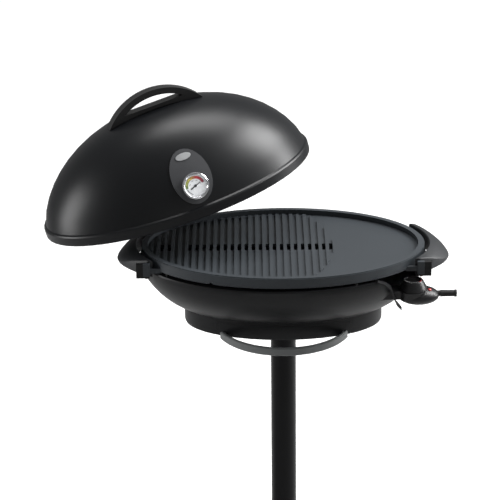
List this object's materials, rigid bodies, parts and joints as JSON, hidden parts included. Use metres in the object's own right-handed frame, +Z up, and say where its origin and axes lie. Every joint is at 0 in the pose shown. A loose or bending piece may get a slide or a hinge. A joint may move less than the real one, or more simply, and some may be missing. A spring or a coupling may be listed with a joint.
{
  "type": "standing electric indoor grill",
  "caption": "Oval electric grill on a round-footed pole stand, with a ribbed plate, a plug-in heat controller, a drip tray and a domed loose lid with a heat gauge.",
  "frame": {"origin": "centre of the foot's soft pad on the floor, under the pole's axis", "axes": "+Z up along the pole; +X to the user's right, the side of the plug-in controller; -Y faces the user, the side of the drip tray's loop and the lid's gauge"},
  "size_m": [0.7846, 0.5105, 1.0774],
  "materials": {
    "base_pad": "matte",
    "base_plate": "semi-gloss black lacquer",
    "collar_screws": "black oxide",
    "lower_tube": "semi-gloss black lacquer",
    "middle_tube": "semi-gloss black lacquer",
    "upper_tube": "semi-gloss black lacquer",
    "lower_sleeve": "bare steel tube",
    "upper_sleeve": "bare steel tube",
    "pole_socket": "satin black lacquer",
    "socket_screws": "zinc plated",
    "floor_plate": "satin black lacquer",
    "floor_screws": "zinc plated",
    "housing_bowl": "satin black, heat-proof",
    "heat_shield": "plain sheet",
    "rim_pads": "matte silicone",
    "tray_runners": "matte",
    "controller_guard": "satin black",
    "grill_plate": "cast aluminium body with a dark grey non-stick coat",
    "heating_element": "heat-darkened sheath",
    "element_clips": "spring steel",
    "terminal_block": "matte moulded ceramic-filled block",
    "terminal_pins": "nickel plated",
    "block_screws": "zinc plated",
    "left_handle": "satin dark grey",
    "right_handle": "satin dark grey",
    "left_bracket": "matte black",
    "right_bracket": "matte black",
    "handle_screws": "zinc plated",
    "drip_pan": "pressed sheet",
    "tray_front": "satin black, heat-proof",
    "tray_loop": "dark grey, semi-gloss",
    "loop_screws": "zinc plated",
    "controller_top": "fine-textured black",
    "controller_base": "fine-textured black",
    "sensor_probe": "stainless",
    "contact_sleeves": "bare",
    "lamp_lens": "clear red",
    "strain_relief": "matte",
    "controller_screws": "zinc plated",
    "temperature_dial": "fine-textured black with red scale marks",
    "dial_cap": "dark, with a pale index line",
    "lid_shell": "satin near-black lacquer",
    "lid_handle": "satin black",
    "lid_handle_screws": "zinc plated",
    "badge_plate": "dark grey, satin",
    "badge_inlay": "bare, blank",
    "gauge_case": "stainless",
    "gauge_bezel": "polished",
    "gauge_face": "white with a coloured heat scale",
    "gauge_glass": "clear",
    "gauge_nut": "zinc plated",
    "gauge_pointer": "black"
  },
  "bodies": {
    "stand": {"base_pad": "base_pad", "base_plate": "base_plate", "collar_screws": "collar_screws", "lower_tube": "lower_tube", "middle_tube": "middle_tube", "upper_tube": "upper_tube", "lower_sleeve": "lower_sleeve", "upper_sleeve": "upper_sleeve", "pole_socket": "pole_socket", "socket_screws": "socket_screws", "floor_plate": "floor_plate", "floor_screws": "floor_screws", "housing_bowl": "housing_bowl", "heat_shield": "heat_shield", "rim_pads": "rim_pads", "tray_runners": "tray_runners", "controller_guard": "controller_guard"},
    "plate": {"grill_plate": "grill_plate", "heating_element": "heating_element", "element_clips": "element_clips", "terminal_block": "terminal_block", "terminal_pins": "terminal_pins", "block_screws": "block_screws", "left_handle": "left_handle", "right_handle": "right_handle", "left_bracket": "left_bracket", "right_bracket": "right_bracket", "handle_screws": "handle_screws"},
    "tray": {"drip_pan": "drip_pan", "tray_front": "tray_front", "tray_loop": "tray_loop", "loop_screws": "loop_screws"},
    "controller": {"controller_top": "controller_top", "controller_base": "controller_base", "sensor_probe": "sensor_probe", "contact_sleeves": "contact_sleeves", "lamp_lens": "lamp_lens", "strain_relief": "strain_relief", "controller_screws": "controller_screws"},
    "dial": {"temperature_dial": "temperature_dial", "dial_cap": "dial_cap"},
    "lid": {"lid_shell": "lid_shell", "lid_handle": "lid_handle", "lid_handle_screws": "lid_handle_screws", "badge_plate": "badge_plate", "badge_inlay": "badge_inlay", "gauge_case": "gauge_case", "gauge_bezel": "gauge_bezel", "gauge_face": "gauge_face", "gauge_glass": "gauge_glass", "gauge_nut": "gauge_nut"},
    "pointer": {"gauge_pointer": "gauge_pointer"}
  },
  "joints": [
    {"name": "plate_lift", "type": "slide", "parent": "stand", "child": "plate", "axis": [0, 0, 1], "range_m": [0, 0.12]},
    {"name": "tray_slide", "type": "slide", "parent": "stand", "child": "tray", "axis": [0, -1, 0], "range_m": [0, 0.16]},
    {"name": "controller_plug", "type": "slide", "parent": "plate", "child": "controller", "axis": [1, 0, 0], "range_m": [0, 0.1]},
    {"name": "dial_turn", "type": "hinge", "parent": "controller", "child": "dial", "pos_m": [0.243, -0.098, 0.75], "axis": [0, 0, 1], "range_deg": [0, 270]},
    {"name": "lid_swing", "type": "hinge", "parent": "plate", "child": "lid", "pos_m": [-0.402, -0.31, 0.508], "axis": [-0.0822, -0.6252, 0.7761], "range_deg": [-23.3, 0]},
    {"name": "pointer_turn", "type": "hinge", "parent": "lid", "child": "pointer", "pos_m": [-0.16466, -0.05159, 0.93541], "axis": [0.1904, -0.888, 0.4185], "range_deg": [-15, 210]}
  ]
}
